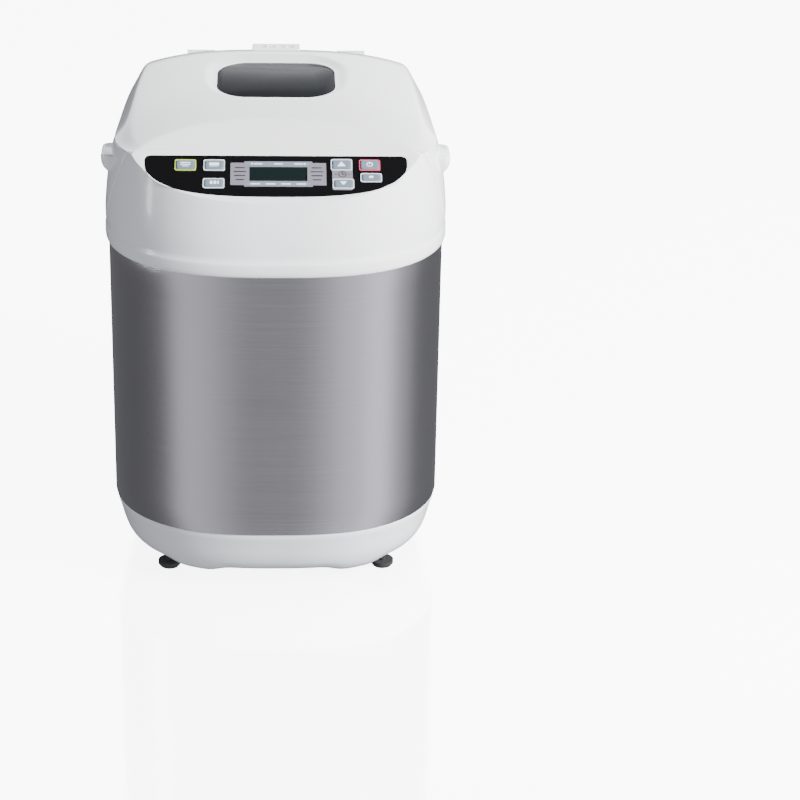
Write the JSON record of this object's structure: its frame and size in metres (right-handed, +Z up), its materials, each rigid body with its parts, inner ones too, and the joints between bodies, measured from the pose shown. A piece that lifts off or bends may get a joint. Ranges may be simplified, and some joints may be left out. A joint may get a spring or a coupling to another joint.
{
  "type": "bread machine",
  "caption": "Upright bread machine: white casing with a brushed steel band, sloping control panel, hinged lid with a window, and a pan with a driven paddle inside.",
  "frame": {"origin": "on the surface it stands on, under the middle of its bounding box", "axes": "+Z up; the control panel faces -Y; +X is to the right seen from the front"},
  "size_m": [0.265, 0.3124, 0.377],
  "materials": {
    "white_plastic": "glossy white moulded plastic",
    "handle_plastic": "satin white moulded plastic",
    "steel_band": "brushed stainless sheet, grain running round the casing",
    "rubber": "matt black rubber",
    "silicone": "matt grey silicone",
    "panel_black": "glossy black overlay",
    "panel_grey": "printed grey plate",
    "display_glass": "dark display window",
    "frame_silver": "pale silver frame",
    "frame_green": "yellow-green frame",
    "frame_red": "rose red frame",
    "button_face": "blue-grey button face",
    "lcd": "display cell",
    "circuit_board": "green circuit board",
    "oven_sheet": "plain aluminised sheet",
    "steel_part": "plain steel",
    "element": "dark sheathed element tube",
    "ceramic": "off-white ceramic",
    "die_cast": "die-cast aluminium",
    "sintered_bronze": "sintered bronze",
    "motor_steel": "lacquered motor steel",
    "capacitor": "cream plastic can",
    "screw_steel": "zinc plated",
    "window_glass": "smoke-tinted toughened glass",
    "pulley_plastic": "natural nylon",
    "nonstick": "dark non-stick coating"
  },
  "bodies": {
    "casing": {"base_tray": "white_plastic", "bottom_plate": "steel_part", "rubber_feet": "rubber", "steel_band": "steel_band", "upper_housing": "white_plastic", "front_fascia": "white_plastic", "side_handles": "handle_plastic", "panel_overlay": "panel_black", "display_plate": "panel_grey", "display_glass": "display_glass", "silver_frames": "frame_silver", "menu_frame": "frame_green", "start_frame": "frame_red", "lcd_module": "lcd", "control_board": "circuit_board", "oven_chamber": "oven_sheet", "pan_seat": "steel_part", "heating_element": "element", "element_clips": "steel_part", "temperature_sensor": "steel_part", "thermal_fuse": "ceramic", "chassis_plate": "steel_part", "chassis_posts": "steel_part", "bearing_housing": "die_cast", "drive_bushes": "sintered_bronze", "motor_body": "motor_steel", "motor_capacitor": "capacitor", "power_board": "circuit_board", "mains_gland": "rubber", "hinge_brackets": "white_plastic", "hinge_pins": "steel_part", "drive_belt": "rubber", "chassis_screws": "screw_steel"},
    "lid": {"lid_shell": "white_plastic", "lid_liner": "oven_sheet", "lid_gasket": "silicone", "window_glass": "window_glass", "window_trim": "rubber", "steam_vent": "white_plastic", "lid_hinge_arms": "white_plastic", "lid_screws": "screw_steel"},
    "drive": {"drive_pulley": "pulley_plastic", "drive_shaft": "steel_part", "drive_coupler": "steel_part"},
    "rotor": {"motor_shaft": "steel_part", "motor_pulley": "pulley_plastic"},
    "pan": {"bread_pan": "nonstick", "pan_base": "steel_part", "pan_bush": "sintered_bronze"},
    "bail": {"bail_handle": "steel_part"},
    "agitator": {"pan_shaft": "steel_part", "wing_coupling": "steel_part"},
    "paddle": {"kneading_paddle": "nonstick"},
    "menu_key": {"menu_button": "button_face"},
    "loaf_key": {"loaf_button": "button_face"},
    "crust_key": {"crust_button": "button_face"},
    "up_key": {"up_button": "button_face"},
    "down_key": {"down_button": "button_face"},
    "start_key": {"start_button": "button_face"},
    "stop_key": {"stop_button": "button_face"}
  },
  "joints": [
    {"name": "lid_hinge", "type": "hinge", "parent": "casing", "child": "lid", "pos_m": [0, 0.13225, 0.351], "axis": [-1, 0, 0], "range_deg": [0, 80]},
    {"name": "drive_spin", "type": "hinge", "parent": "casing", "child": "drive", "pos_m": [0, 0.01225, 0.09], "axis": [0, 0, 1], "continuous": true},
    {"name": "motor_spin", "type": "hinge", "parent": "casing", "child": "rotor", "pos_m": [-0.042, -0.11175, 0.09], "axis": [0, 0, 1], "continuous": true},
    {"name": "pan_lift", "type": "slide", "parent": "casing", "child": "pan", "axis": [0, 0, 1], "range_m": [0, 0.012]},
    {"name": "bail_swing", "type": "hinge", "parent": "pan", "child": "bail", "pos_m": [0, 0.01225, 0.3209], "axis": [1, 0, 0], "range_deg": [0, 10]},
    {"name": "agitator_spin", "type": "hinge", "parent": "pan", "child": "agitator", "pos_m": [0, 0.01225, 0.1504], "axis": [0, 0, 1], "continuous": true},
    {"name": "paddle_lift", "type": "slide", "parent": "agitator", "child": "paddle", "axis": [0, 0, 1], "range_m": [0, 0.03]},
    {"name": "menu_press", "type": "slide", "parent": "casing", "child": "menu_key", "axis": [0, 0.4384, -0.8988], "range_m": [0, 0.0008], "stiffness_N_per_m": 300, "springref_m": -0.002},
    {"name": "loaf_press", "type": "slide", "parent": "casing", "child": "loaf_key", "axis": [0, 0.4384, -0.8988], "range_m": [0, 0.0008], "stiffness_N_per_m": 300, "springref_m": -0.002},
    {"name": "crust_press", "type": "slide", "parent": "casing", "child": "crust_key", "axis": [0, 0.4384, -0.8988], "range_m": [0, 0.0008], "stiffness_N_per_m": 300, "springref_m": -0.002},
    {"name": "up_press", "type": "slide", "parent": "casing", "child": "up_key", "axis": [0, 0.4384, -0.8988], "range_m": [0, 0.0008], "stiffness_N_per_m": 300, "springref_m": -0.002},
    {"name": "down_press", "type": "slide", "parent": "casing", "child": "down_key", "axis": [0, 0.4384, -0.8988], "range_m": [0, 0.0008], "stiffness_N_per_m": 300, "springref_m": -0.002},
    {"name": "start_press", "type": "slide", "parent": "casing", "child": "start_key", "axis": [0, 0.4384, -0.8988], "range_m": [0, 0.0008], "stiffness_N_per_m": 300, "springref_m": -0.002},
    {"name": "stop_press", "type": "slide", "parent": "casing", "child": "stop_key", "axis": [0, 0.4384, -0.8988], "range_m": [0, 0.0008], "stiffness_N_per_m": 300, "springref_m": -0.002}
  ],
  "couplings": [
    {"joint": "motor_spin", "follows": "drive_spin", "ratio": 5.1748},
    {"joint": "agitator_spin", "follows": "drive_spin", "ratio": 1}
  ]
}
